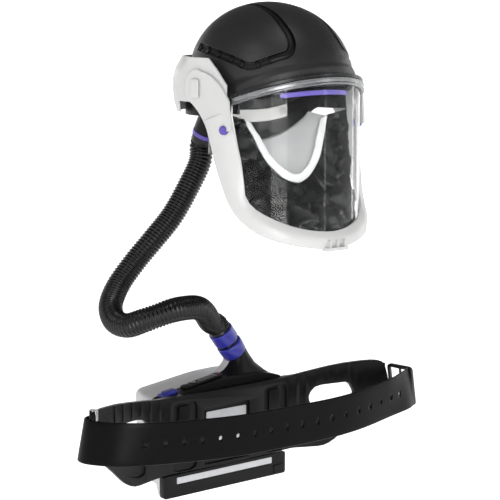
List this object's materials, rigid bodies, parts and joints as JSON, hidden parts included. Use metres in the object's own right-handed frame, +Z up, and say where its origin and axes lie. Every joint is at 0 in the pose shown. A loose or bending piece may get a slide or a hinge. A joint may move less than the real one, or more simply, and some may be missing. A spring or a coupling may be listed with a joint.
{
  "type": "powered air respirator",
  "caption": "Face-shield safety helmet with lifting visor and face seal, joined by a corrugated hose to a belt-worn battery blower on a curved back frame.",
  "frame": {"origin": "centre of the helmet's headband, where the wearer's head is held", "axes": "+Z up, the wearer faces -Y, the wearer's left is +X"},
  "size_m": [0.5567, 0.3277, 0.6705],
  "materials": {
    "shell_grey": "fine-grained dark grey shell",
    "white_plastic": "satin white moulding",
    "black_plastic": "black moulding with a fine spark texture",
    "black_rubber": "soft black",
    "purple_plastic": "violet-blue moulding",
    "blue_plastic": "strong blue moulding",
    "white_webbing": "flexible white strap",
    "white_fabric": "soft white knitted fabric",
    "coated_fabric": "black coated fabric with a light sheen",
    "clear_visor": "clear sheet",
    "silver_rail": "translucent grey plastic with a silver look",
    "steel": "bright steel",
    "dark_steel": "dark plated steel",
    "light_grey_plastic": "light grey moulding",
    "board_green": "circuit board",
    "display_glass": "smoked window",
    "red_plastic": "red lamp",
    "filter_paper": "pleated paper",
    "silver_label": "plain silver label film",
    "strap_leather": "smooth black coated webbing",
    "black_fabric": "black padded cloth and woven tape"
  },
  "bodies": {
    "helmet": {"helmet_shell": "shell_grey", "rear_cowl": "white_plastic", "air_duct": "black_plastic", "inlet_elbow": "black_plastic", "headband": "black_plastic", "nape_strap": "white_webbing", "crown_cradle": "black_fabric", "brow_pad": "black_fabric", "strap_peg_right": "white_plastic", "strap_peg_left": "white_plastic", "hinge_pin_right": "steel", "hinge_pin_left": "steel", "breathing_hose": "black_rubber", "outlet_seal": "black_rubber", "outlet_collar": "blue_plastic", "blower_housing": "black_plastic", "rear_casing": "light_grey_plastic", "fan_scroll": "black_plastic", "motor": "steel", "suction_plate": "black_plastic", "circuit_board": "board_green", "control_panel": "light_grey_plastic", "display_window": "display_glass", "alarm_light": "red_plastic", "cover_hinge_pin": "steel", "filter_seal": "black_rubber", "particulate_filter": "filter_paper", "prefilter": "filter_paper", "spark_arrestor": "steel", "back_frame": "black_plastic", "frame_label": "silver_label", "strap_clip": "steel", "waist_strap": "strap_leather", "end_loop_left": "strap_leather", "buckle_frame": "dark_steel"},
    "visor": {"visor_frame": "white_plastic", "visor_lens": "clear_visor", "brow_rail": "silver_rail", "visor_top_seal": "black_rubber", "hinge_cap_right": "white_plastic", "hinge_cap_left": "white_plastic", "face_seal": "coated_fabric", "face_seal_lining": "white_fabric"},
    "visor_lock_right": {"visor_lock_right": "purple_plastic"},
    "visor_lock_left": {"visor_lock_left": "purple_plastic"},
    "air_deflector": {"air_deflector": "purple_plastic"},
    "ratchet_knob": {"ratchet_knob": "black_plastic"},
    "hose_swivel": {"hose_swivel_ring": "purple_plastic", "hose_cuff_upper": "black_rubber"},
    "hose_cuff": {"hose_cuff_lower": "blue_plastic"},
    "impeller": {"impeller": "light_grey_plastic"},
    "filter_cover": {"filter_cover": "light_grey_plastic"},
    "cover_latch": {"cover_latch": "blue_plastic"},
    "power_button": {"power_button": "black_rubber"},
    "flow_button": {"flow_button": "black_rubber"},
    "battery": {"battery_front": "black_plastic", "battery_rear": "light_grey_plastic", "battery_label": "silver_label"},
    "battery_latch": {"battery_latch": "black_plastic"},
    "buckle_prong": {"buckle_prong": "dark_steel"}
  },
  "joints": [
    {"name": "visor_lift", "type": "hinge", "parent": "helmet", "child": "visor", "pos_m": [0, 0.024, -0.012], "axis": [-1, 0, 0], "range_deg": [0, 70], "deforming": ["face_seal", "face_seal_lining"]},
    {"name": "visor_lock_right_turn", "type": "hinge", "parent": "visor", "child": "visor_lock_right", "pos_m": [-0.1105, -0.032, -0.062], "axis": [-0.9863, -0.165, 0], "range_deg": [0, 90]},
    {"name": "visor_lock_left_turn", "type": "hinge", "parent": "visor", "child": "visor_lock_left", "pos_m": [0.1105, -0.032, -0.062], "axis": [0.9863, -0.165, 0], "range_deg": [0, 90]},
    {"name": "deflector_tilt", "type": "hinge", "parent": "helmet", "child": "air_deflector", "pos_m": [0, -0.088, -0.014], "axis": [1, 0, 0], "range_deg": [-6, 6]},
    {"name": "ratchet_turn", "type": "hinge", "parent": "helmet", "child": "ratchet_knob", "pos_m": [0, 0.103, -0.056], "axis": [0, 1, 0], "continuous": true},
    {"name": "hose_swivel", "type": "hinge", "parent": "helmet", "child": "hose_swivel", "pos_m": [0, 0.151, -0.079], "axis": [0, -0.4848, 0.8746], "range_deg": [-90, 90]},
    {"name": "cuff_bayonet", "type": "hinge", "parent": "helmet", "child": "hose_cuff", "pos_m": [0.033, 0.1385, -0.386], "axis": [-0.5948, 0, 0.8039], "range_deg": [0, 45]},
    {"name": "impeller_spin", "type": "hinge", "parent": "helmet", "child": "impeller", "pos_m": [0.03, 0.135, -0.486], "axis": [0, 1, 0], "continuous": true},
    {"name": "cover_open", "type": "hinge", "parent": "helmet", "child": "filter_cover", "pos_m": [0.1042, 0.1602, -0.488], "axis": [0, 0, -1], "range_deg": [0, 90]},
    {"name": "cover_latch_slide", "type": "slide", "parent": "helmet", "child": "cover_latch", "axis": [-0.9874, 0, -0.1582], "range_m": [0, 0.004]},
    {"name": "power_press", "type": "slide", "parent": "helmet", "child": "power_button", "axis": [0.1582, 0, -0.9874], "range_m": [0, 0.001], "stiffness_N_per_m": 600, "springref_m": -0.0005},
    {"name": "flow_press", "type": "slide", "parent": "helmet", "child": "flow_button", "axis": [0.1582, 0, -0.9874], "range_m": [0, 0.001], "stiffness_N_per_m": 600, "springref_m": -0.0005},
    {"name": "battery_slide", "type": "slide", "parent": "helmet", "child": "battery", "axis": [0, 0, -1], "range_m": [0, 0.03]},
    {"name": "battery_latch_press", "type": "slide", "parent": "battery", "child": "battery_latch", "axis": [0, 1, 0], "range_m": [0, 0.0015], "stiffness_N_per_m": 800, "springref_m": -0.0005},
    {"name": "buckle_prong_lift", "type": "hinge", "parent": "helmet", "child": "buckle_prong", "pos_m": [0.2735, 0.041, -0.457], "axis": [0.1724, 0.0212, -0.9848], "range_deg": [0, 60]}
  ]
}
